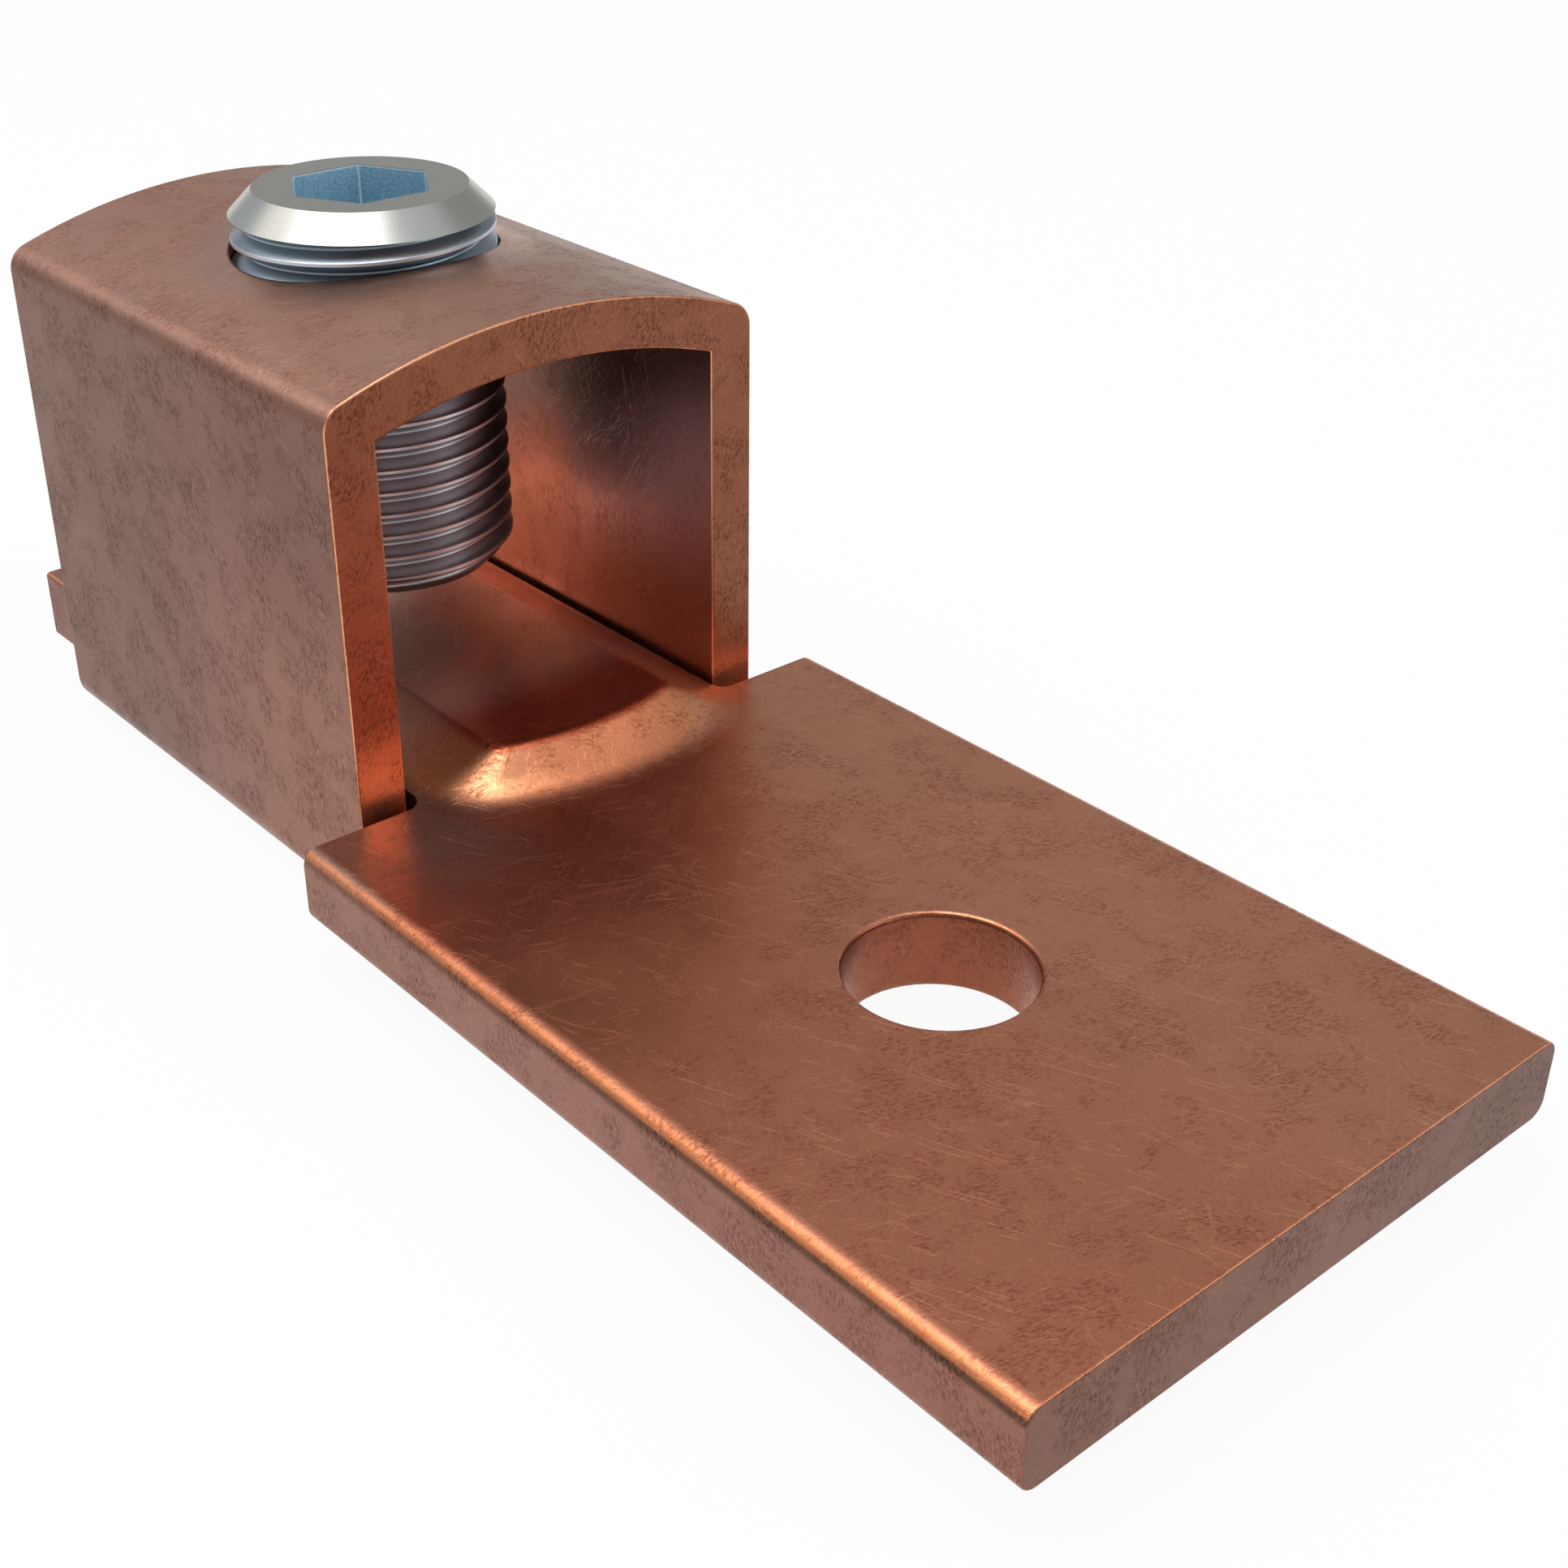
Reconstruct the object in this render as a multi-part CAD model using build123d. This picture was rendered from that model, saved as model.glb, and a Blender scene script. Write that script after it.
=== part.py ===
from build123d import *
import os
from math import radians, sqrt, tan

# A set-screw cable lug in three pieces: a tang cut from copper bar, with a bolt hole and a raised
# saddle, a copper collar trapped on the tang's neck, and a socket set screw in the collar's arched top.
# All sizes are in millimetres. The origin is the centre of the bolt hole on the tang's flat underside,
# +X points to the tang's bolted end, away from the cable, and +Z points up.

# Bar stock and the pad with its bolt hole
bar_thickness = 4.76
pad_width = 38.1
hole_to_front_end = 23.9
hole_to_shoulder = 31.0
bolt_hole_diameter = 10.32
bolt_hole_edge_radius = 0.3
bar_edge_radius = 1.0
sheared_edge_radius = 0.12

# Neck through the collar, and the ears that keep the collar on
neck_width = 22.06
shoulder_notch_radius = 1.1
ear_width = 27.1
ear_length = 4.75
ear_edge_radius = 0.3
ear_notch_radius = 0.35

# Saddle pressed up out of the neck for the cable to lie on
saddle_rise = 2.34
saddle_top_width = 12.6
saddle_lip_past_shoulder = 1.8
saddle_lip_plan_radius = 18.5
saddle_front_slope = 42.0
saddle_lip_corner_radius = 1.0
saddle_foot_corner_radius = 5.0
saddle_foot_blend = 4.0
saddle_lip_blend = 0.8
hollow_corner_radius = 0.8

# Collar, a closed sleeve of even wall
collar_length = 37.6
collar_wall = 3.05
collar_inside_height = 28.42
crown_inside_radius = 36.5
collar_top_corner_radius = 1.6
collar_bottom_corner_radius = 2.0
collar_end_edge_radius = 0.15

# Set screw
screw_diameter = 15.875
screw_length = 23.8
screw_top_chamfer = 1.5
screw_tip_chamfer = 1.45
socket_across_flats = 7.94
socket_depth = 9.0
drill_point_angle = 118.0

# Clearances
neck_side_clearance = 0.47
collar_front_gap = 1.15
collar_rear_gap = 0.4
screw_hole_clearance = 0.15
screw_tip_above_saddle = 3.63

# Places worked out from the sizes
front_x = hole_to_front_end
shoulder_x = -hole_to_shoulder
collar_front_x = shoulder_x - collar_front_gap
collar_rear_x = collar_front_x - collar_length
ear_front_x = collar_rear_x - collar_rear_gap
rear_x = ear_front_x - ear_length
collar_inside_width = neck_width + 2 * neck_side_clearance
collar_outside_width = collar_inside_width + 2 * collar_wall
screw_x = (collar_front_x + collar_rear_x) / 2
saddle_top_z = bar_thickness + saddle_rise
nose_centre_x = shoulder_x + saddle_lip_past_shoulder - saddle_lip_plan_radius
screw_tip_z = saddle_top_z + screw_tip_above_saddle


def rectangle_between(start_x, end_x, width):
    """A plan rectangle centred on the bar's axis, from one X to another."""
    return Pos((start_x + end_x) / 2, 0) * Rectangle(abs(end_x - start_x), width)


def edges_where(shape, axis, place):
    """The edges whose middle lies at a place on an axis, on either side of zero."""
    return shape.edges().filter_by(
        lambda edge: abs(abs(getattr(edge.center(), axis)) - place) < 0.01
    )


def bar_outline():
    """Plan of the cut bar: pad, neck and ears, with rounded inside corners."""
    outline = rectangle_between(shoulder_x, front_x, pad_width)
    outline += rectangle_between(rear_x, shoulder_x, neck_width)
    outline += rectangle_between(rear_x, ear_front_x, ear_width)
    corners = outline.vertices().filter_by(lambda v: abs(abs(v.Y) - neck_width / 2) < 0.01)
    outline = fillet(corners.filter_by(lambda v: v.X > screw_x), shoulder_notch_radius)
    corners = outline.vertices().filter_by(lambda v: abs(abs(v.Y) - neck_width / 2) < 0.01)
    return fillet(corners.filter_by(lambda v: abs(v.X - ear_front_x) < 0.01), ear_notch_radius)


def form_outline(z, half_width, nose_radius, corner_radius):
    """Plan outline of the pressed form at one height: straight sides, a nose arc and rounded corners."""
    corner_x = nose_centre_x + sqrt(nose_radius**2 - half_width**2)
    sides = Polyline(
        (corner_x, half_width), (rear_x, half_width), (rear_x, -half_width), (corner_x, -half_width)
    )
    nose = ThreePointArc((corner_x, -half_width), (nose_centre_x + nose_radius, 0), (corner_x, half_width))
    outline = make_face([sides, nose])
    return Pos(0, 0, z) * fillet(outline.vertices().group_by(Axis.X)[-1], corner_radius)


def raised_form(base_z, drawn_in):
    """The pressed form: an even ridge along the bar, its nose sloping down and its corners widening.

    drawn_in is how far its side and front outlines stand inside those of the top surface.
    """
    side_inset, front_inset = drawn_in
    lip_radius = saddle_lip_plan_radius - front_inset
    foot_radius = lip_radius + saddle_rise / tan(radians(saddle_front_slope))
    foot_half = neck_width / 2 - side_inset
    lip_half = saddle_top_width / 2 - side_inset
    foot = form_outline(base_z, foot_half, foot_radius, saddle_foot_corner_radius)
    lip = form_outline(base_z + saddle_rise, lip_half, lip_radius, saddle_lip_corner_radius)
    return loft([foot, lip], ruled=True)


def saddle_slope_angle():
    """Angle of the saddle's side slopes to the flat, in degrees."""
    run = (neck_width - saddle_top_width) / 2
    return Vector(run, saddle_rise).get_angle(Vector(1, 0))


def form_edges(shape, height):
    """The edges of the pressed form that lie at a height, without those of the bar's own outline."""
    level = edges_where(shape, "Z", height)
    inside = level.filter_by(lambda edge: rear_x + 0.01 < edge.center().X < front_x - 0.01)
    return inside.filter_by(lambda edge: abs(edge.center().Y) < pad_width / 2 - 0.01)


def blended_blank():
    """Full-width bar with the saddle raised on it and its edges and feet blended."""
    blank = extrude(rectangle_between(rear_x, front_x, pad_width), bar_thickness)
    blank += raised_form(bar_thickness, (0, 0))
    blank = fillet(form_edges(blank, saddle_top_z), saddle_lip_blend)
    return fillet(form_edges(blank, bar_thickness), saddle_foot_blend)


def with_own_pad_face(tang):
    """The same solid, its underside parted at the shoulder: only the pad's face is bolted down."""
    blade = Plane.YZ.offset(shoulder_x) * Pos(0, -bar_thickness / 2) * Rectangle(pad_width, bar_thickness)
    return split(tang, bisect_by=blade.face(), keep=Keep.ALL)


def make_tang():
    """The copper bar: bolt pad, saddle, neck and ears in one piece."""
    tang = blended_blank()
    tang &= extrude(bar_outline(), saddle_top_z)

    # The press leaves the thickness even, so the underside is hollow below the saddle
    front_inset = bar_thickness * tan(radians(saddle_front_slope / 2))
    side_inset = bar_thickness * tan(radians(saddle_slope_angle() / 2))
    hollow = raised_form(0, (side_inset, front_inset))
    tang -= fillet(form_edges(hollow, saddle_rise), hollow_corner_radius)

    tang -= Cylinder(bolt_hole_diameter / 2, 4 * bar_thickness)
    rims = tang.edges().filter_by(GeomType.CIRCLE)
    rims = rims.filter_by(lambda edge: abs(edge.radius - bolt_hole_diameter / 2) < 0.001)
    tang = fillet(rims, bolt_hole_edge_radius)
    tang = fillet(edges_where(tang, "Y", pad_width / 2).filter_by(Axis.X), bar_edge_radius)
    tang = fillet(edges_where(tang, "Y", ear_width / 2).filter_by(Axis.X), ear_edge_radius)
    front_end = tang.faces().filter_by(Axis.X).group_by(Axis.X)[-1]
    tang = fillet(front_end.edges(), sheared_edge_radius)
    return with_own_pad_face(tang)


def arched_box(half_width, floor_z, crown_z, crown_radius):
    """A box outline seen along the collar, with one arc for its top."""
    spring_z = crown_z - crown_radius + sqrt(crown_radius**2 - half_width**2)
    walls = Polyline(
        (-half_width, spring_z), (-half_width, floor_z), (half_width, floor_z), (half_width, spring_z)
    )
    crown = ThreePointArc((half_width, spring_z), (0, crown_z), (-half_width, spring_z))
    return make_face([walls, crown])


def make_collar():
    """The copper collar: straight sides, an arched top and the hole for the screw."""
    outside = arched_box(
        collar_outside_width / 2,
        -collar_wall,
        collar_inside_height + collar_wall,
        crown_inside_radius + collar_wall,
    )
    outside = fillet(outside.vertices().group_by(Axis.Y)[-1], collar_top_corner_radius)
    outside = fillet(outside.vertices().group_by(Axis.Y)[0], collar_bottom_corner_radius)
    inside = arched_box(collar_inside_width / 2, 0, collar_inside_height, crown_inside_radius)
    collar = extrude(Plane.YZ.offset(collar_rear_x) * (outside - inside), collar_length)

    hole_radius = screw_diameter / 2 + screw_hole_clearance
    collar -= Pos(screw_x, 0, collar_inside_height) * Cylinder(hole_radius, 4 * collar_wall)
    ends = collar.faces().filter_by(Axis.X).group_by(Axis.X)
    return fillet(ends[-1].edges() + ends[0].edges(), collar_end_edge_radius)


def make_set_screw():
    """Socket set screw, drawn to the crests of its thread."""
    screw = Pos(screw_x, 0, screw_tip_z) * Cylinder(
        screw_diameter / 2, screw_length, align=(Align.CENTER, Align.CENTER, Align.MIN)
    )
    rims = screw.edges().filter_by(GeomType.CIRCLE).sort_by(Axis.Z)
    screw = chamfer(rims[-1], screw_top_chamfer)
    rims = screw.edges().filter_by(GeomType.CIRCLE).sort_by(Axis.Z)
    screw = chamfer(rims[0], screw_tip_chamfer)

    top = Pos(screw_x, 0, screw_tip_z + screw_length)
    hexagon = RegularPolygon(socket_across_flats / 2, 6, major_radius=False, rotation=30)
    screw -= extrude(top * hexagon, -socket_depth)
    point_depth = socket_across_flats / 2 / tan(radians(drill_point_angle / 2))
    point = Cone(0, socket_across_flats / 2, point_depth, align=(Align.CENTER, Align.CENTER, Align.MAX))
    screw -= top * Pos(0, 0, -socket_depth) * point
    return screw


os.makedirs("parts", exist_ok=True)
export_step(make_tang(), "parts/tang.step")
export_step(make_collar(), "parts/collar.step")
export_step(make_set_screw(), "parts/set_screw.step")
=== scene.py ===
from collections import namedtuple
from functools import reduce
from math import cos, pi, radians, sin, tan, tau

import bmesh
import bpy
from mathutils import Matrix, Vector


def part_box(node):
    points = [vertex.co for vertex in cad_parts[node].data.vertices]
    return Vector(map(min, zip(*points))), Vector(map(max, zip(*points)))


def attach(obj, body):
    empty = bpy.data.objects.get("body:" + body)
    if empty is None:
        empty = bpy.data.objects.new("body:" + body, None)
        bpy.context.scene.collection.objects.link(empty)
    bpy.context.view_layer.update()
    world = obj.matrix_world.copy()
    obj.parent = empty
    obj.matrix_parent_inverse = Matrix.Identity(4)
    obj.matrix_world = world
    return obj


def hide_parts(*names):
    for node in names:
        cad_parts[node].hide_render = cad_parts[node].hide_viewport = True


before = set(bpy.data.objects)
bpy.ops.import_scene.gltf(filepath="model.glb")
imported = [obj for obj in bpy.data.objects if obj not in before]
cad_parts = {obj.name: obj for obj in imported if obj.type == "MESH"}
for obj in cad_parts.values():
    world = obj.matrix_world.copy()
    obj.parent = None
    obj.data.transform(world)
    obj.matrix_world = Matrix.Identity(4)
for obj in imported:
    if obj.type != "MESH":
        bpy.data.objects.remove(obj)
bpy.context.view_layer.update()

MM = 0.001

# Camera: its place in metres, its angles in degrees, its lens and sensor in millimetres
camera_place = Vector((63.49, -67.53, 68.81)) * MM
camera_azimuth = 48.302
camera_elevation = 29.978
camera_roll = 0.755
camera_lens = 50.135
camera_sensor = 36.0

# Thread of the set screw, in millimetres and degrees: unified form, 18 turns to the inch, right-hand
thread_pitch = 25.4 / 18
thread_depth = 0.88
thread_crest_flat = thread_pitch / 8
thread_root_flat = 0.1
thread_corner_share = 0.03
thread_corner_drop = 0.035
thread_steps_per_turn = 144
thread_spare_turns = 3
first_crest_height = 12.17
first_crest_angle = -33.5

# Ends and socket of the set screw, in millimetres and degrees
screw_top_chamfer = 1.5
screw_tip_chamfer = 1.45
rod_below_chamfer = 0.03
head_dip_in_middle = 0.13
head_dip_at_root = 0.08
head_root_inset = 0.9
socket_across_flats = 7.94
socket_corner_radius = socket_across_flats / 2 / cos(pi / 6)
socket_depth = 9.0
socket_point_angle = 118.0
turned_steps = 192
cutter_margin = 1.0
smooth_below_angle = 32.0

# Colours of the tang: warm where it faces up, painted shade on the cut sides, ends and bolt hole, painted
# highlights and reflections where noted
tang_top = (0.66, 0.255, 0.145, 1)
tang_top_far = (0.72, 0.325, 0.20, 1)
# Painted reflections of the saddle and collar on the pad near them
tang_saddle_reflection = (0.67, 0.22, 0.125, 1)
tang_foot_reflection = (0.53, 0.28, 0.21, 1)
# Painted highlight on the saddle's front slope, paler at its ends
tang_slope = (0.98, 0.345, 0.165, 1)
tang_slope_ends_highlight = (1.0, 0.45, 0.225, 1)
tang_saddle = (0.66, 0.135, 0.06, 1)
# Painted light: the neck inside the collar is lightened to stand in for light there
tang_neck_light = (0.95, 0.54, 0.41, 1)
# Painted shade: the ears, sides, ends and bolt hole are darker copies of the copper
tang_side = (0.34, 0.15, 0.105, 1)
tang_ear = (0.25, 0.11, 0.075, 1)
tang_end = (0.225, 0.10, 0.064, 1)
tang_end_far = (0.18, 0.076, 0.047, 1)
tang_hole = (0.31, 0.10, 0.056, 1)
tang_hole_front = (0.50, 0.23, 0.15, 1)
# Painted dark reflection under the long edges' highlight
tang_rolled_edge_dark_reflection = (0.16, 0.08, 0.055, 1)
# Wear and a painted highlight on the long edges
tang_long_edge_wear_and_highlight = (0.95, 0.35, 0.155, 1)

# Colours of the collar: pale on the dome, painted shade outside, painted light inside, and painted
# reflections round the screw and low on the ends
collar_top = (0.70, 0.375, 0.265, 1)
collar_top_far = (0.45, 0.26, 0.185, 1)
# Painted reflection of the screw on the dome round its hole
collar_top_screw_reflection = (0.70, 0.42, 0.325, 1)
# Painted shade: the sides and ends are darker copies of the copper
collar_side = (0.215, 0.10, 0.066, 1)
collar_side_front = (0.34, 0.146, 0.09, 1)
collar_end = (0.275, 0.107, 0.061, 1)
collar_end_near = (0.38, 0.14, 0.08, 1)
# Painted red reflection of the saddle low down on the ends
collar_end_low_reflection = (1.0, 0.32, 0.15, 1)
# Painted light: lightened copies of the copper inside the collar, paler towards the front and by the near
# wall
collar_inside = (0.88, 0.36, 0.225, 1)
collar_inside_front_light = (1.0, 0.65, 0.65, 1)
collar_inside_near_light = (0.96, 0.71, 0.64, 1)
# Painted shade high up inside, towards the cable's end
collar_inside_rear_shade = (0.22, 0.095, 0.062, 1)

# Wear of the copper and painted highlights on its edges: their colours, and (angle in degrees, seed, width)
# of each way that scratches run
# Wear on the scratches, wear and a painted highlight on the collar's edges
wear_and_highlight_copper = (1.0, 0.46, 0.24, 1)
smudge_tint = (0.50, 0.38, 0.36, 1)
smudge_angle = 70.0
scratch_ways = [
    (20.0, 11.0, 0.012),
    (75.0, 31.0, 0.01),
    (-35.0, 53.0, 0.01),
    (125.0, 71.0, 0.01),
]

# Colours of the zinc plate, with a painted reflection on the lower thread and painted highlights on the
# crests and socket edges
plate_end = (0.59, 0.575, 0.53, 1)
plate_upper_thread = (0.32, 0.38, 0.43, 1)
# Painted light blue reflection on the lower thread's near side
plate_lower_thread_reflection = (0.72, 0.92, 1.0, 1)
plate_lower_dull = (0.46, 0.44, 0.46, 1)
# Wear and a painted highlight on the thread's crests
plate_crest_wear_and_highlight = (0.80, 0.78, 0.84, 1)
plate_socket = (0.50, 0.75, 0.86, 1)
# Painted highlight on the socket's mouth and corners
plate_edge_highlight = (0.95, 0.97, 1.0, 1)
plate_speckle_tint = (0.35, 0.5, 0.6, 1)

# Places on the lug that the colours follow, in millimetres
bar_top = 4.76
saddle_top = 7.1
bolt_hole_radius = 5.16
collar_inside_half_width = 11.6
collar_crown_centre = -8.08
collar_crown_radius = 36.6
screw_hole_radius = 8.09
screw_axis_x = -50.95
screw_crest_radius = 7.94

# The studio: how bright it is at the horizon, above that and overhead, and broad soft lights as
# (direction, angle of the full light, angle where it has faded, colour)
sky_horizon = (1.0, 1.0, 1.0, 1)
sky_level = (0.35, 0.35, 0.35, 1)
sky_overhead = (0.76, 0.82, 0.88, 1)
sky_lights = [
    ((-0.88, -0.24, 0.42), 8.0, 32.0, (0.46, 0.50, 0.56, 1)),
    ((-0.52, -0.44, 0.73), 6.0, 26.0, (1.45, 1.43, 1.40, 1)),
    ((0.74, 0.54, 0.40), 8.0, 28.0, (1.7, 1.72, 1.75, 1)),
    ((0.37, 0.43, 0.82), 6.0, 26.0, (0.62, 0.65, 0.68, 1)),
]

# The floor and the lamp above the lug, with lengths in metres
floor_half_size = 30.0
floor_gap = 0.02 * MM
floor_white = (0.98, 0.98, 0.98, 1)
floor_glow_share = 0.94
key_aim = Vector((-25, 0, 10)) * MM
key_direction = Vector((-0.07, -0.22, 0.97))
key_along = Vector((0.82, 0.57, 0.0))
key_distance = 0.5
key_size = (0.43, 0.30)
key_brightness = 2.6

Place = namedtuple("Place", "flat in_mm x y z normal_x normal_z end_share worn_edge")
ScrewPlace = namedtuple("ScrewPlace", "in_mm x y z radius in_socket on_thread")
Paint = namedtuple("Paint", "colour mark_share polish")


def shader_node(tree, kind, inputs=None, **settings):
    """Adds a node. inputs maps an input's name or index to a value, or to an output to link."""
    made = tree.nodes.new(kind)
    for name, value in settings.items():
        setattr(made, name, value)
    for name, value in (inputs or {}).items():
        if isinstance(value, bpy.types.NodeSocket):
            tree.links.new(value, made.inputs[name])
        else:
            made.inputs[name].default_value = value
    return made


def calculate(tree, operation, *values):
    """A Math node's output."""
    return shader_node(tree, "ShaderNodeMath", dict(enumerate(values)), operation=operation).outputs[0]


def folded(tree, operation, values):
    """Several values taken together by one operation, from the first to the last."""
    return reduce(lambda so_far, value: calculate(tree, operation, so_far, value), values)


def total(tree, *values):
    """Several values added up."""
    return folded(tree, "ADD", values)


def product(tree, *values):
    """Several values multiplied together."""
    return folded(tree, "MULTIPLY", values)


def largest(tree, *values):
    """The largest of several values."""
    return folded(tree, "MAXIMUM", values)


def absolute(tree, value):
    """A value without its sign."""
    return calculate(tree, "ABSOLUTE", value)


def ramp(tree, value, low, high, to_low=0.0, to_high=1.0):
    """A value carried smoothly from the range low..high to to_low..to_high."""
    inputs = {0: value, 1: low, 2: high, 3: to_low, 4: to_high}
    return shader_node(tree, "ShaderNodeMapRange", inputs, interpolation_type="SMOOTHSTEP").outputs[0]


def fade(tree, value, low, high):
    """One up to low, falling smoothly to nothing at high."""
    return ramp(tree, value, low, high, 1.0, 0.0)


def mix_colour(tree, share, first, second, **settings):
    """Two colours mixed by a share."""
    inputs = {0: share, 6: first, 7: second}
    return shader_node(tree, "ShaderNodeMix", inputs, data_type="RGBA", **settings).outputs[2]


def layered(tree, colour, *layers):
    """A colour with others laid over it in turn, each given as (share, colour)."""
    for share, over in layers:
        colour = mix_colour(tree, share, colour, over)
    return colour


def mix_vector(tree, share, first, second):
    """Two vectors mixed by a share."""
    inputs = {0: share, 4: first, 5: second}
    return shader_node(tree, "ShaderNodeMix", inputs, data_type="VECTOR").outputs[1]


def mix_shader(tree, share, first, second):
    """Two shader nodes mixed by a share."""
    inputs = {0: share, 1: first.outputs[0], 2: second.outputs[0]}
    return shader_node(tree, "ShaderNodeMixShader", inputs)


def combine(tree, x, y, z):
    """A vector from its three parts."""
    return shader_node(tree, "ShaderNodeCombineXYZ", {0: x, 1: y, 2: z}).outputs[0]


def separate(tree, vector):
    """The three parts of a vector."""
    return shader_node(tree, "ShaderNodeSeparateXYZ", {0: vector}).outputs


def in_millimetres(tree, vector):
    """A place given in metres, in millimetres."""
    inputs = {0: vector, "Scale": 1 / MM}
    return shader_node(tree, "ShaderNodeVectorMath", inputs, operation="SCALE").outputs[0]


def shifted(tree, vector, offset):
    """A place moved by an offset."""
    return shader_node(tree, "ShaderNodeMapping", {"Vector": vector, "Location": offset}).outputs[0]


def stretched(tree, vector, angle, along, across):
    """A place turned by an angle, then scaled along and across that direction."""
    inputs = {"Vector": vector, "Rotation": (0, 0, radians(-angle))}
    turned = shader_node(tree, "ShaderNodeMapping", inputs).outputs[0]
    inputs = {"Vector": turned, "Scale": (along, across, 1.0)}
    return shader_node(tree, "ShaderNodeMapping", inputs).outputs[0]


def noise(tree, vector, scale, detail=2.0, roughness=0.5):
    """A noise texture's value."""
    inputs = {"Vector": vector, "Scale": scale, "Detail": detail, "Roughness": roughness}
    return shader_node(tree, "ShaderNodeTexNoise", inputs).outputs[0]


def distance(tree, first, second, centre=(0.0, 0.0)):
    """Distance of a point from an axis, from its two coordinates across that axis."""
    across = combine(tree, total(tree, first, -centre[0]), total(tree, second, -centre[1]), 0.0)
    return shader_node(tree, "ShaderNodeVectorMath", {0: across}, operation="LENGTH").outputs["Value"]


def in_bore(tree, from_axis, radius):
    """One inside a bore and on its wall, and nothing further out."""
    return fade(tree, from_axis, radius + 0.05, radius + 0.15)


def bumped(tree, height, strength, depth):
    """A surface direction disturbed by a height. depth is in millimetres."""
    inputs = {"Strength": strength, "Distance": depth * MM, "Height": height}
    return shader_node(tree, "ShaderNodeBump", inputs).outputs[0]


def new_material(name):
    """A new material, its node tree and its shader."""
    material = bpy.data.materials.new(name)
    material.use_nodes = True
    tree = material.node_tree
    return material, tree, tree.nodes["Principled BSDF"]


def surface_place(tree):
    """Where a point lies on a copper piece, in millimetres, and which way its face looks.

    flat is the place laid out along the face, for the marks. normal_x has no sign.
    """
    place = shader_node(tree, "ShaderNodeTexCoord")
    in_mm = in_millimetres(tree, place.outputs["Object"])
    x, y, z = separate(tree, in_mm)
    normal_x, normal_y, normal_z = separate(tree, place.outputs["Normal"])
    normal_x = absolute(tree, normal_x)
    normal_y = absolute(tree, normal_y)

    on_side = combine(tree, product(tree, x, -1.0), z, y)
    on_end = combine(tree, y, z, x)
    faces_side = calculate(tree, "GREATER_THAN", normal_y, 0.7)
    faces_end = calculate(tree, "GREATER_THAN", normal_x, 0.7)
    flat = mix_vector(tree, faces_end, mix_vector(tree, faces_side, in_mm, on_side), on_end)

    squarest = largest(tree, normal_x, normal_y, absolute(tree, normal_z))
    end_share = ramp(tree, normal_x, 0.8, 0.97)
    worn_edge = fade(tree, squarest, 0.8, 0.96)
    return Place(flat, in_mm, x, y, z, normal_x, normal_z, end_share, worn_edge)


def above_bar(tree, place):
    """Nothing on the bar's own top, and one on the saddle and its slopes."""
    return ramp(tree, place.z, bar_top + 0.02, bar_top + 0.54)


def tang_upper_colour(tree, place):
    """The tang's top: paler towards its far edge, with painted reflections by the saddle and its foot, and
    a painted highlight on the slope.
    """
    far = ramp(tree, place.y, -10.0, 12.0)
    by_saddle = product(tree, fade(tree, place.x, -20.0, -9.0), fade(tree, place.y, -1.0, 8.0))
    by_foot = product(tree, fade(tree, place.x, -28.0, -20.0), fade(tree, place.y, -12.0, -6.0))
    slope_ends = ramp(tree, absolute(tree, place.y), 3.0, 9.0)
    on_saddle = ramp(tree, place.z, saddle_top - 0.4, saddle_top - 0.05)
    in_collar = product(tree, fade(tree, place.x, -38.0, -33.0), ramp(tree, place.x, -69.0, -66.0))
    return layered(
        tree,
        mix_colour(tree, far, tang_top, tang_top_far),
        # Painted reflections of the saddle and collar on the pad
        (by_saddle, tang_saddle_reflection),
        (by_foot, tang_foot_reflection),
        # Painted highlight on the saddle's slope
        (above_bar(tree, place), mix_colour(tree, slope_ends, tang_slope, tang_slope_ends_highlight)),
        (on_saddle, tang_saddle),
        # Painted light on the neck inside the collar
        (in_collar, tang_neck_light),
    )


def tang_outer_colour(tree, place):
    """The tang's ears, sides and cut ends in painted shade, with a painted dark reflection where the long
    edges roll over.
    """
    past_ears = ramp(tree, place.x, -72.0, -70.0)
    far = ramp(tree, place.y, 0.0, 15.0)
    # Painted dark reflection where the long edges roll over, strongest towards the front
    rolled_dark_reflection = product(
        tree, ramp(tree, place.normal_z, 0.05, 0.3), ramp(tree, place.x, -60.0, 20.0, 0.2, 1.0)
    )
    return layered(
        tree,
        mix_colour(tree, past_ears, tang_ear, tang_side),
        (place.end_share, mix_colour(tree, far, tang_end, tang_end_far)),
        (rolled_dark_reflection, tang_rolled_edge_dark_reflection),
    )


def tang_wear_and_highlight_share(tree, place):
    """How much wear and painted highlight the tang's upper edges get: most at the front of the long edges.
    """
    return product(
        tree,
        place.worn_edge,
        ramp(tree, place.normal_z, 0.42, 0.62),
        ramp(tree, place.x, -30.0, 20.0, 0.7, 1.0),
        ramp(tree, place.normal_x, 0.1, 0.5, 1.0, 0.5),
        fade(tree, place.z, bar_top + 0.04, bar_top + 0.24),
    )


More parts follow.
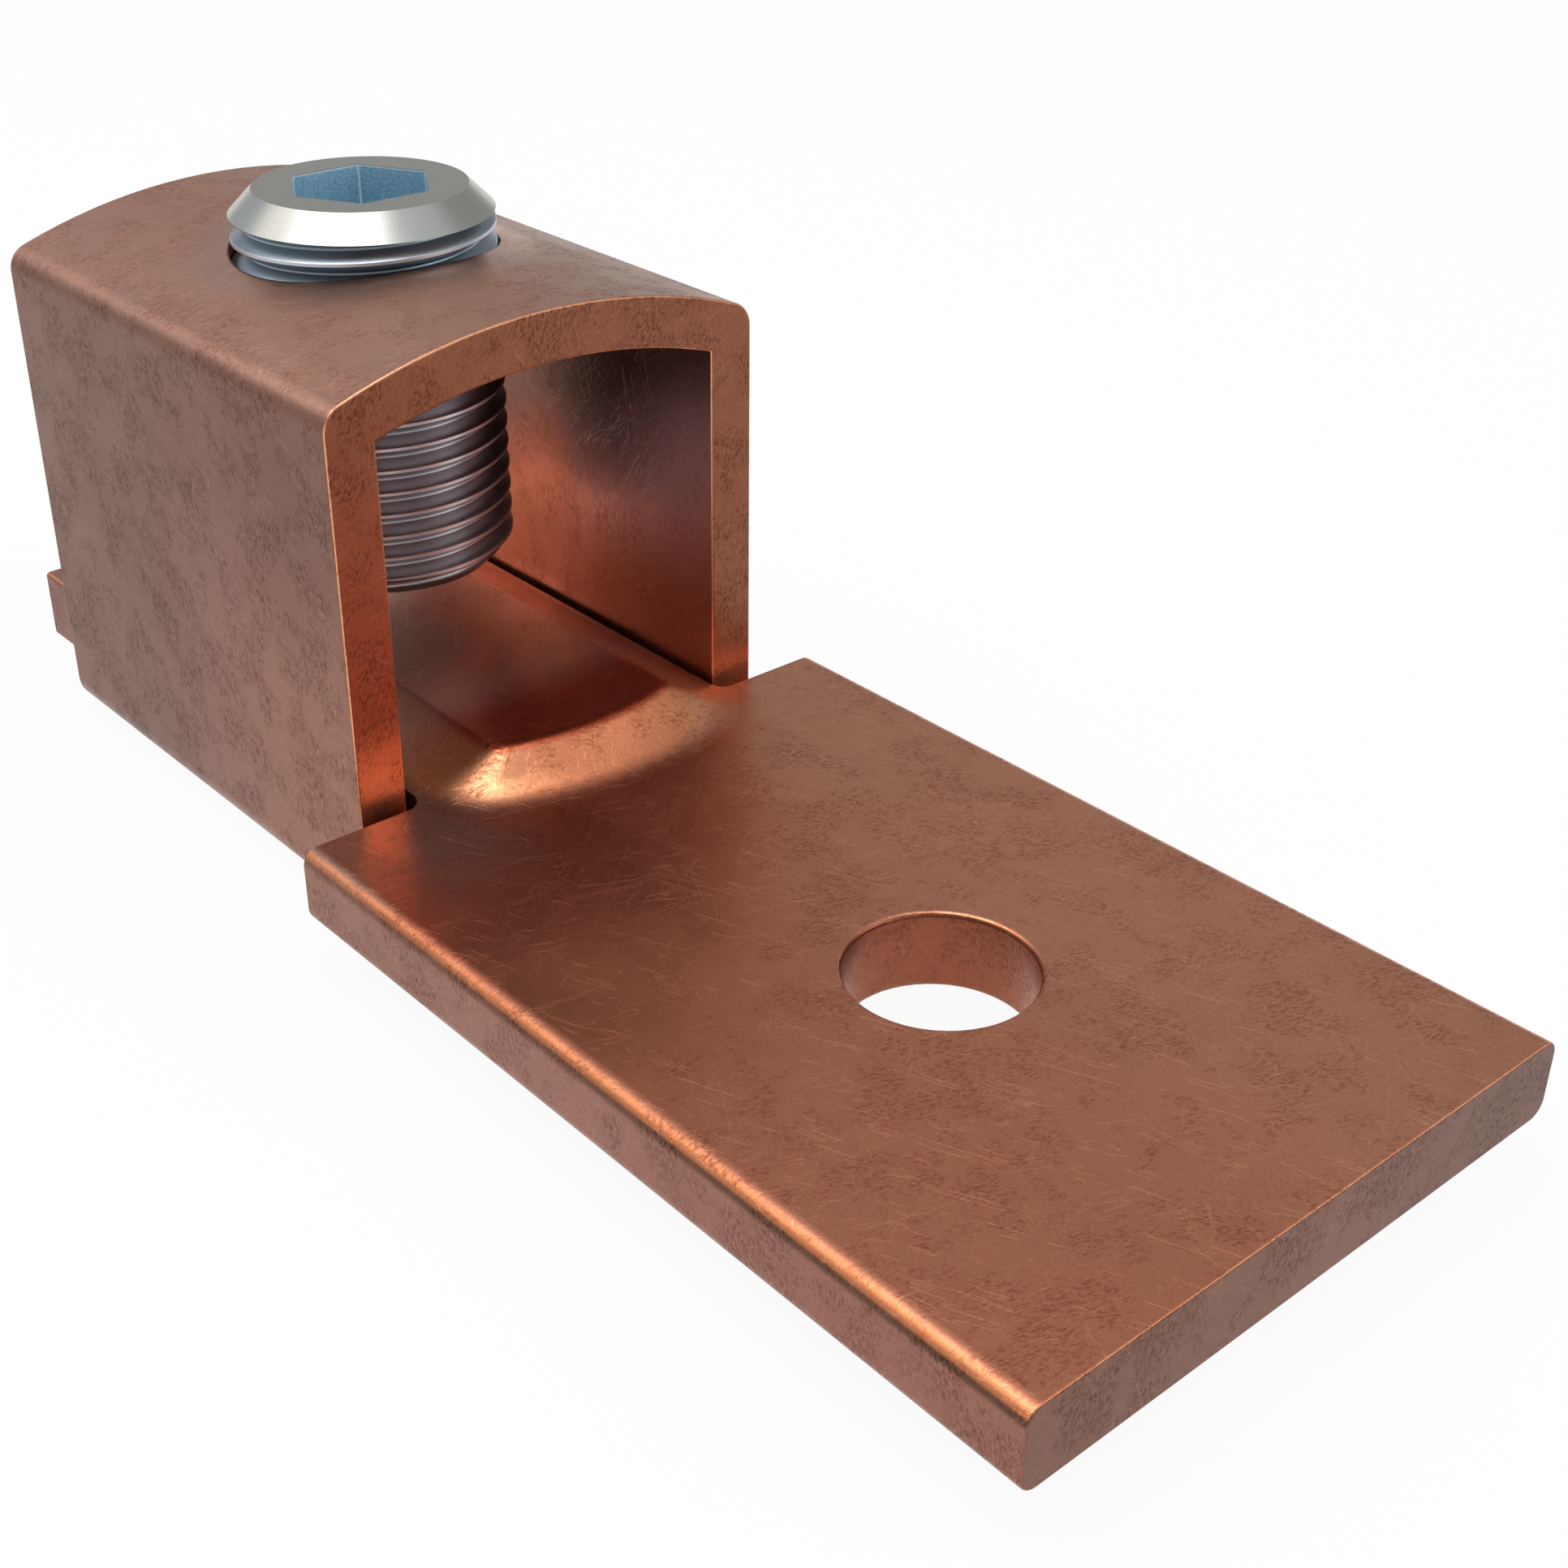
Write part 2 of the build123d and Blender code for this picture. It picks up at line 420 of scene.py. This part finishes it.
def tang_paint(tree, place):
    """Warm on top, painted shade on sides, ends and hole wall, wear and a painted highlight on the edges,
    less marked in the collar and hole.
    """
    faces_up = ramp(tree, place.normal_z, 0.42, 0.68)
    in_hole = in_bore(tree, distance(tree, place.x, place.y), bolt_hole_radius)
    hole_front = ramp(tree, place.x, -1.0, 4.0)
    colour = layered(
        tree,
        tang_outer_colour(tree, place),
        (faces_up, tang_upper_colour(tree, place)),
        # Wear and a painted highlight on the upper edges
        (tang_wear_and_highlight_share(tree, place), tang_long_edge_wear_and_highlight),
        # Painted shade on the bolt hole's wall, lighter towards the front
        (in_hole, mix_colour(tree, hole_front, tang_hole, tang_hole_front)),
    )
    outside_collar = ramp(tree, place.x, -38.0, -30.0, 0.5, 1.0)
    mark_share = total(tree, outside_collar, product(tree, in_hole, -0.5))
    polish = product(tree, above_bar(tree, place), ramp(tree, place.x, -36.0, -32.0), 0.3)
    return Paint(colour, mark_share, polish)


def collar_outer_colour(tree, place):
    """The collar's sides and cut ends in painted shade, with a painted red reflection low down on the ends.
    """
    # Painted shade: the sides and ends are darker copies of the copper
    front = product(tree, ramp(tree, place.x, -60.0, -36.0), fade(tree, place.z, 6.0, 24.0))
    near = product(tree, fade(tree, place.y, -12.0, -6.0), fade(tree, place.z, 18.0, 28.0))
    # Painted red reflection low down on the ends
    low = fade(tree, total(tree, place.z, product(tree, place.y, 0.12)), 5.0, 9.0)
    end_colour = layered(tree, collar_end, (near, collar_end_near), (low, collar_end_low_reflection))
    side_colour = mix_colour(tree, front, collar_side, collar_side_front)
    return mix_colour(tree, place.end_share, side_colour, end_colour)


def collar_inner_colour(tree, place):
    """Inside, in painted light: cooler towards the front and paler by the near wall, with painted shade
    high up towards the cable's end.
    """
    front = product(tree, ramp(tree, place.x, -50.0, -42.0), ramp(tree, place.z, 8.0, 18.0))
    near_wall = fade(tree, place.y, 0.55 - collar_inside_half_width, 1.0 - collar_inside_half_width)
    # Painted shade high up inside, towards the cable's end
    rear = ramp(tree, total(tree, place.z, product(tree, place.x, -0.42)), 33.0, 41.0)
    return layered(
        tree,
        collar_inside,
        (front, collar_inside_front_light),
        (near_wall, collar_inside_near_light),
        (rear, collar_inside_rear_shade),
    )


def inside_collar(tree, place):
    """One on the collar's inner faces and between them, and nothing on its cut ends."""
    off_middle = absolute(tree, place.y)
    from_crown_centre = distance(tree, place.y, place.z, (0.0, collar_crown_centre))
    return product(
        tree,
        fade(tree, off_middle, collar_inside_half_width - 0.05, collar_inside_half_width),
        fade(tree, from_crown_centre, collar_crown_radius - 0.05, collar_crown_radius),
        ramp(tree, place.z, -0.1, -0.05),
    )


def collar_paint(tree, place):
    """Pale on the dome and polished round the screw, with a painted reflection of the screw there, painted
    shade outside, painted light inside, wear and a painted highlight on the edges.
    """
    faces_up = ramp(tree, place.normal_z, 0.25, 0.75)
    far = ramp(tree, place.y, -1.0, 10.0)
    from_screw = distance(tree, place.x, place.y, (screw_axis_x, 0.0))
    # Polish round the screw, also used for a painted reflection of it
    polish_and_screw_reflection = product(
        tree,
        fade(tree, from_screw, screw_hole_radius + 0.5, screw_hole_radius + 3.5),
        ramp(tree, place.normal_z, 0.8, 0.9),
    )
    dome_colour = layered(
        tree, mix_colour(tree, far, collar_top, collar_top_far), (polish_and_screw_reflection, collar_top_screw_reflection)
    )
    inside = inside_collar(tree, place)
    in_hole = product(
        tree, in_bore(tree, from_screw, screw_hole_radius), ramp(tree, place.z, 20.0, 21.0)
    )
    # Wear and a painted highlight on the collar's edges
    bright_edge = product(tree, place.worn_edge, ramp(tree, place.normal_x, 0.1, 0.3))
    colour = layered(
        tree,
        collar_outer_colour(tree, place),
        (faces_up, dome_colour),
        # Painted light inside the collar and its screw hole
        (largest(tree, inside, in_hole), collar_inner_colour(tree, place)),
        (bright_edge, wear_and_highlight_copper),
    )
    mark_share = total(tree, ramp(tree, inside, 0.0, 1.0, 1.0, 0.5), product(tree, polish_and_screw_reflection, -0.5))
    return Paint(colour, mark_share, polish_and_screw_reflection)


def hairlines(tree, flat, angle, seed, width):
    """Fine curved scratches that run about one way, in patches."""
    place = shifted(tree, flat, (seed, seed * 1.7, 0))
    bend = noise(tree, place, 0.35, 1.0)
    inputs = {0: stretched(tree, place, angle, 0.12, 1.3), 1: bend}
    bent_place = shader_node(tree, "ShaderNodeVectorMath", inputs, operation="ADD").outputs[0]
    off_line = absolute(tree, total(tree, noise(tree, bent_place, 1.0, 1.5, 0.6), -0.5))
    patch = noise(tree, stretched(tree, place, angle, 0.3, 0.7), 1.0, 2.0)
    return product(tree, fade(tree, off_line, 0.0, width), ramp(tree, patch, 0.5, 0.6))


def smudges(tree, flat, angle, seed):
    """Short dark flecks that run about one way, thick in some patches and few in others."""
    place = shifted(tree, flat, (seed, -seed, seed))
    fine = noise(tree, stretched(tree, place, angle, 2.8, 6.2), 1.0, 5.0, 0.72)
    broad = noise(tree, stretched(tree, place, angle, 1.2, 2.4), 1.0, 4.0, 0.65)
    patch = noise(tree, place, 0.32, 4.0, 0.65)
    flecks = ramp(tree, fine, 0.49, 0.56)
    clouds = ramp(tree, broad, 0.46, 0.62, 0.0, 0.45)
    return product(tree, largest(tree, flecks, clouds), ramp(tree, patch, 0.42, 0.58, 0.2, 1.0))


def copper(name, paint, seed):
    """Dulled copper: dark streaky smudges in patches, fine grain and hairline scratches.

    paint gives the piece's own colours, with their painted light and shade, and how marked and how polished
    each place is.
    """
    material, tree, shader = new_material(name)
    place = surface_place(tree)
    painted = paint(tree, place)
    tone = noise(tree, place.in_mm, 0.12, 3.0, 0.55)
    grain = noise(tree, place.in_mm, 5.0, 2.0, 0.6)
    marks = smudges(tree, place.flat, smudge_angle, seed)
    lines = [hairlines(tree, place.flat, angle, seed + more, width) for angle, more, width in scratch_ways]
    scratches = largest(tree, *lines)

    darkened = largest(
        tree,
        product(tree, marks, 0.85),
        ramp(tree, grain, 0.4, 0.7, 0.0, 0.35),
        ramp(tree, tone, 0.45, 0.75, 0.0, 0.2),
    )
    darkened = product(tree, darkened, painted.mark_share)
    brightened = product(tree, scratches, ramp(tree, place.normal_z, 0.3, 0.8, 0.07, 0.22))
    colour = mix_colour(tree, darkened, painted.colour, smudge_tint, blend_type="MULTIPLY")
    colour = mix_colour(tree, brightened, colour, wear_and_highlight_copper)
    tree.links.new(colour, shader.inputs["Base Color"])

    uneven = ramp(tree, tone, 0.3, 0.7, 0.28, 0.34)
    roughness = total(tree, uneven, product(tree, marks, 0.12), product(tree, grain, 0.05))
    roughness = product(tree, roughness, ramp(tree, painted.polish, 0.0, 1.0, 1.0, 0.85))
    tree.links.new(roughness, shader.inputs["Roughness"])

    height = total(
        tree, product(tree, grain, 0.07), product(tree, scratches, -0.4), product(tree, marks, -0.05)
    )
    tree.links.new(bumped(tree, height, 0.6, 0.02), shader.inputs["Normal"])
    shader.inputs["Metallic"].default_value = 1.0
    return material


def screw_place(tree, top_middle):
    """Where a point lies on the set screw, in millimetres from the middle of its top."""
    place = shader_node(tree, "ShaderNodeTexCoord").outputs["Object"]
    in_mm = in_millimetres(tree, shifted(tree, place, -top_middle))
    x, y, z = separate(tree, in_mm)
    radius = distance(tree, x, y)
    within_corners = fade(tree, radius, socket_corner_radius + 0.02, socket_corner_radius + 0.06)
    in_socket = product(tree, within_corners, fade(tree, z, -0.05, -0.02))
    on_thread = fade(tree, z, -screw_top_chamfer - 0.05, -screw_top_chamfer - 0.01)
    return ScrewPlace(in_mm, x, y, z, radius, in_socket, on_thread)


def thread_colour(tree, place):
    """Dull in the upper part, a painted light blue reflection below that on the near side, and pale on the
    crests from wear and a painted highlight.
    """
    to_far_side = total(tree, product(tree, place.x, 0.66), product(tree, place.y, 0.75))
    dull = ramp(tree, to_far_side, -6.0, 1.0)
    upper = ramp(tree, place.z, -9.0, -4.5)
    crest = ramp(tree, place.radius, screw_crest_radius - 0.1, screw_crest_radius - 0.03)
    return layered(
        tree,
        mix_colour(tree, dull, plate_lower_thread_reflection, plate_lower_dull),
        (upper, plate_upper_thread),
        # Wear and a painted highlight on the crests
        (product(tree, crest, 0.6), plate_crest_wear_and_highlight),
    )


def plate_colour(tree, place, grain, tone):
    """The plate's colour, speckled most in the socket, whose edges get a painted highlight."""
    colour = layered(
        tree, plate_end, (place.on_thread, thread_colour(tree, place)), (place.in_socket, plate_socket)
    )
    speckle = total(tree, 0.08, product(tree, place.in_socket, 0.7))
    speckle = product(tree, speckle, ramp(tree, grain, 0.35, 0.65))
    speckle = total(tree, speckle, product(tree, tone, 0.1))
    colour = mix_colour(tree, speckle, colour, plate_speckle_tint, blend_type="MULTIPLY")
    # Painted highlight on the socket's mouth and corners
    at_mouth = ramp(tree, place.z, -0.15, -0.08)
    at_corner = ramp(tree, place.radius, socket_corner_radius - 0.064, socket_corner_radius - 0.014)
    bright_edge = product(tree, largest(tree, at_mouth, at_corner), place.in_socket)
    return mix_colour(tree, bright_edge, colour, plate_edge_highlight)


def plated_steel(name, top_middle):
    """Bright zinc plate on turned steel: grey ends, flanks with a painted bluish reflection, and a light
    blue socket.
    """
    material, tree, shader = new_material(name)
    place = screw_place(tree, top_middle)
    grain = noise(tree, place.in_mm, 9.0, 3.0, 0.65)
    tone = noise(tree, place.in_mm, 0.35, 2.0)
    tree.links.new(plate_colour(tree, place, grain, tone), shader.inputs["Base Color"])

    roughness = total(
        tree,
        ramp(tree, grain, 0.3, 0.7, 0.24, 0.32),
        product(tree, place.on_thread, 0.06),
        product(tree, place.in_socket, 0.25),
    )
    tree.links.new(roughness, shader.inputs["Roughness"])
    metallic = total(tree, product(tree, place.in_socket, -0.5), 1.0)
    tree.links.new(metallic, shader.inputs["Metallic"])

    rings = noise(tree, combine(tree, place.radius, place.z, 0.0), 14.0, 1.0)
    height = total(tree, product(tree, rings, 0.5), grain)
    tree.links.new(bumped(tree, height, 0.2, 0.01), shader.inputs["Normal"])
    return material


def mesh_object(name, vertices, faces):
    """A mesh object made from points in millimetres."""
    mesh = bpy.data.meshes.new(name)
    mesh.from_pydata([Vector(v) * MM for v in vertices], [], faces)
    made = bpy.data.objects.new(name, mesh)
    bpy.context.scene.collection.objects.link(made)
    return made


def turned_solid(name, outline, centre_x):
    """A solid of revolution. outline is (radius, height) points from the lower to the upper pole."""
    vertices = [(centre_x, 0, outline[0][1])]
    for radius, height in outline[1:-1]:
        for step in range(turned_steps):
            angle = tau * step / turned_steps
            vertices.append((centre_x + radius * cos(angle), radius * sin(angle), height))
    vertices.append((centre_x, 0, outline[-1][1]))
    rings = len(outline) - 2
    faces = []
    for step in range(turned_steps):
        after = (step + 1) % turned_steps
        faces.append((0, 1 + after, 1 + step))
        for ring in range(rings - 1):
            low = 1 + ring * turned_steps
            high = low + turned_steps
            faces.append((low + step, low + after, high + after, high + step))
        last = 1 + (rings - 1) * turned_steps
        faces.append((last + step, last + after, len(vertices) - 1))
    return mesh_object(name, vertices, faces)


def thread_profile(crest_radius):
    """One pitch of the thread as (share of the pitch, radius), from mid crest to the next."""
    root_radius = crest_radius - thread_depth
    crest_half = thread_crest_flat / thread_pitch / 2
    root_half = thread_root_flat / thread_pitch / 2
    corner, drop = thread_corner_share, thread_corner_drop
    return [
        (0.0, crest_radius),
        (crest_half, crest_radius),
        (crest_half + corner, crest_radius - drop),
        (0.5 - root_half - corner, root_radius + drop),
        (0.5 - root_half + corner, root_radius),
        (0.5 + root_half - corner, root_radius),
        (0.5 + root_half + corner, root_radius + drop),
        (1.0 - crest_half - corner, crest_radius - drop),
        (1.0 - crest_half, crest_radius),
    ]


def rod_vertices(profile, centre_x, start, turns):
    """Points of a threaded rod, column by column round its axis, then its lower and upper poles."""
    vertices = []
    for column in range(thread_steps_per_turn):
        angle = tau * column / thread_steps_per_turn
        for row in range(turns * len(profile) + 1):
            turn, point = divmod(row, len(profile))
            share, radius = profile[point]
            height = start + (turn + share + column / thread_steps_per_turn) * thread_pitch
            vertices.append((centre_x + radius * cos(angle), radius * sin(angle), height))
    vertices.append((centre_x, 0, start - thread_pitch))
    vertices.append((centre_x, 0, start + (turns + 2) * thread_pitch))
    return vertices


def rod_faces(per_turn, turns):
    """Faces between a rod's columns and round its poles. The last column joins the first a turn on."""
    rows = turns * per_turn + 1
    bottom_pole = thread_steps_per_turn * rows
    top_pole = bottom_pole + 1
    last_column = thread_steps_per_turn - 1
    faces = []
    for column in range(thread_steps_per_turn):
        here = column * rows
        there = 0 if column == last_column else here + rows
        shift = per_turn if column == last_column else 0
        for row in range(rows - 1 - shift):
            faces.append((here + row, there + row + shift, there + row + shift + 1, here + row + 1))
        faces.append((bottom_pole, there + shift, here))
        faces.append((top_pole, here + rows - 1 - shift, there + rows - 1))
    last_row = last_column * rows + rows - 1
    for row in range(per_turn):
        faces.append((bottom_pole, row, row + 1))
        faces.append((top_pole, last_row - row - 1, last_row - row))
    return faces


def threaded_rod(name, centre_x, low, high, crest_radius):
    """A closed rod with a helical thread, running well past both ends of the screw."""
    profile = thread_profile(crest_radius)
    base = first_crest_height - first_crest_angle / 360 * thread_pitch
    turns_below = int((base - low) / thread_pitch) + thread_spare_turns
    start = base - turns_below * thread_pitch
    turns = int((high - start) / thread_pitch) + thread_spare_turns
    vertices = rod_vertices(profile, centre_x, start, turns)
    return mesh_object(name, vertices, rod_faces(len(profile), turns))


def rod_outline(crest_radius, bottom, top):
    """What the rod is cut to: flat at both ends and chamfered at the tip."""
    tip_radius = crest_radius - screw_tip_chamfer
    past_crest = crest_radius + cutter_margin
    rod_top = top - screw_top_chamfer - rod_below_chamfer
    return [
        (0, bottom),
        (tip_radius, bottom),
        (past_crest, bottom + past_crest - tip_radius),
        (past_crest, rod_top),
        (0, rod_top),
    ]


def head_outline(crest_radius, top):
    """The plain head: the thread ends below its cone, and its underside dips into the rod."""
    cone_foot = top - screw_top_chamfer
    return [
        (0, cone_foot - head_dip_in_middle),
        (crest_radius - head_root_inset, cone_foot - head_dip_at_root),
        (crest_radius, cone_foot),
        (crest_radius - screw_top_chamfer, top),
        (0, top),
    ]


def hexagonal_bore(name, centre_x, top):
    """The socket as a solid: a hexagonal prism past its mouth, ending in a drill point."""
    corners = [
        (centre_x + socket_corner_radius * cos(angle), socket_corner_radius * sin(angle))
        for angle in (radians(30 + 60 * step) for step in range(6))
    ]
    floor = top - socket_depth
    point_depth = socket_across_flats / 2 / tan(radians(socket_point_angle / 2))
    vertices = [(x, y, top + cutter_margin) for x, y in corners] + [(x, y, floor) for x, y in corners]
    vertices.append((centre_x, 0, floor - point_depth))
    faces = [tuple(range(6))]
    for step in range(6):
        after = (step + 1) % 6
        faces.append((step, after, after + 6, step + 6))
        faces.append((step + 6, after + 6, 12))
    return mesh_object(name, vertices, faces)


def outward(target):
    """Turns a closed mesh's faces outward."""
    shape = bmesh.new()
    shape.from_mesh(target.data)
    bmesh.ops.recalc_face_normals(shape, faces=shape.faces)
    shape.to_mesh(target.data)
    shape.free()


def cut(target, tool, operation):
    """Applies a boolean between two closed meshes and removes the tool."""
    outward(tool)
    modifier = target.modifiers.new("cut", "BOOLEAN")
    modifier.operation = operation
    modifier.solver = "EXACT"
    modifier.object = tool
    evaluated = target.evaluated_get(bpy.context.evaluated_depsgraph_get())
    mesh = bpy.data.meshes.new_from_object(evaluated)
    target.modifiers.clear()
    target.data = mesh
    bpy.data.objects.remove(tool)


def shade_smooth(target, sharp_angle):
    """Smooth shading that breaks at edges sharper than an angle in degrees."""
    target.data.shade_smooth()
    target.data.set_sharp_from_angle(angle=radians(sharp_angle))


def make_set_screw():
    """The set screw with its helical thread, chamfered ends and hexagonal socket."""
    low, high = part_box("set_screw")
    centre_x = (low.x + high.x) / 2 / MM
    crest_radius = (high.x - low.x) / 2 / MM
    bottom, top = low.z / MM, high.z / MM

    screw = threaded_rod("set_screw_threaded", centre_x, bottom, top, crest_radius)
    outward(screw)
    cut(screw, turned_solid("rod_limit", rod_outline(crest_radius, bottom, top), centre_x), "INTERSECT")
    cut(screw, turned_solid("head", head_outline(crest_radius, top), centre_x), "UNION")
    cut(screw, hexagonal_bore("bore", centre_x, top), "DIFFERENCE")
    shade_smooth(screw, smooth_below_angle)
    screw.data.materials.clear()
    screw.data.materials.append(plated_steel("zinc_plate", Vector((centre_x * MM, 0, top * MM))))
    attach(screw, "screw")
    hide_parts("set_screw")


def dress(node_name, material):
    """Gives a carried-over node its material."""
    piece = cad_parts[node_name]
    piece.data.materials.clear()
    piece.data.materials.append(material)


def floor_material():
    """Almost evenly white to the camera and in reflections. From below, the camera looks through it."""
    material, tree, _ = new_material("floor_white")
    tree.nodes.clear()
    path = shader_node(tree, "ShaderNodeLightPath").outputs
    seen = largest(tree, path["Is Camera Ray"], path["Is Glossy Ray"], path["Is Transmission Ray"])
    glow = shader_node(tree, "ShaderNodeEmission", {"Color": (1, 1, 1, 1), "Strength": 1.0})
    lit = shader_node(tree, "ShaderNodeBsdfDiffuse", {"Color": floor_white})
    surface = mix_shader(tree, product(tree, seen, floor_glow_share), lit, glow)
    backfacing = shader_node(tree, "ShaderNodeNewGeometry").outputs["Backfacing"]
    from_below = product(tree, backfacing, path["Is Camera Ray"])
    clear = shader_node(tree, "ShaderNodeBsdfTransparent")
    surface = mix_shader(tree, from_below, surface, clear)
    output = shader_node(tree, "ShaderNodeOutputMaterial", {"Surface": surface.outputs[0]})
    output.is_active_output = True
    return material


def make_floor():
    """A plain white floor just under the lug."""
    size = floor_half_size
    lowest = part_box("collar")[0].z - floor_gap
    corners = [(-size, -size), (size, -size), (size, size), (-size, size)]
    mesh = bpy.data.meshes.new("floor")
    mesh.from_pydata([(x, y, lowest) for x, y in corners], [], [(0, 1, 2, 3)])
    mesh.materials.append(floor_material())
    floor = bpy.data.objects.new("floor", mesh)
    bpy.context.scene.collection.objects.link(floor)


def make_key_light():
    """A rectangular lamp above the lug, given by how bright its face is."""
    light = bpy.data.lights.new("key", "AREA")
    light.shape = "RECTANGLE"
    light.size, light.size_y = key_size
    light.energy = key_brightness * pi * light.size * light.size_y
    lamp = bpy.data.objects.new("key", light)
    away = key_direction.normalized()
    side = away.cross(key_along).normalized()
    turn = Matrix((side.cross(away), side, away)).transposed()
    lamp.matrix_world = Matrix.Translation(key_aim + away * key_distance) @ turn.to_4x4()
    lamp.visible_camera = False
    bpy.context.scene.collection.objects.link(lamp)


def make_world():
    """A plain grey surround, white at the horizon and light overhead, with broad soft lights in it."""
    world = bpy.data.worlds.new("studio")
    bpy.context.scene.world = world
    world.use_nodes = True
    tree = world.node_tree
    direction = shader_node(tree, "ShaderNodeTexCoord").outputs["Generated"]
    height = separate(tree, direction)[2]
    colour = mix_colour(tree, ramp(tree, height, 0.05, 0.14), sky_horizon, sky_level)
    colour = mix_colour(tree, ramp(tree, height, 0.65, 0.95), colour, sky_overhead)
    for towards, full_angle, faded_angle, light_colour in sky_lights:
        inputs = {0: direction, 1: Vector(towards).normalized()}
        cosine = shader_node(tree, "ShaderNodeVectorMath", inputs, operation="DOT_PRODUCT").outputs["Value"]
        share = ramp(tree, cosine, cos(radians(faded_angle)), cos(radians(full_angle)))
        colour = mix_colour(tree, share, colour, light_colour)
    tree.links.new(colour, tree.nodes["Background"].inputs["Color"])


def make_camera():
    """The camera, turned to look back along its azimuth and elevation."""
    data = bpy.data.cameras.new("camera")
    data.sensor_width = camera_sensor
    data.lens = camera_lens
    data.clip_start = 0.001
    data.clip_end = 100.0
    camera = bpy.data.objects.new("camera", data)
    bpy.context.scene.collection.objects.link(camera)
    azimuth, elevation = radians(camera_azimuth), radians(camera_elevation)
    back = Vector((sin(azimuth) * cos(elevation), -cos(azimuth) * cos(elevation), sin(elevation)))
    level = (-back).to_track_quat("-Z", "Y")
    camera.location = camera_place
    camera.rotation_mode = "QUATERNION"
    camera.rotation_quaternion = level @ Matrix.Rotation(radians(camera_roll), 3, "Z").to_quaternion()
    bpy.context.scene.camera = camera


make_camera()
make_world()
make_floor()
make_key_light()

dress("tang", copper("tang_copper", tang_paint, 3.0))
dress("collar", copper("collar_copper", collar_paint, 17.0))
make_set_screw()

bpy.context.scene.view_settings.view_transform = "Standard"
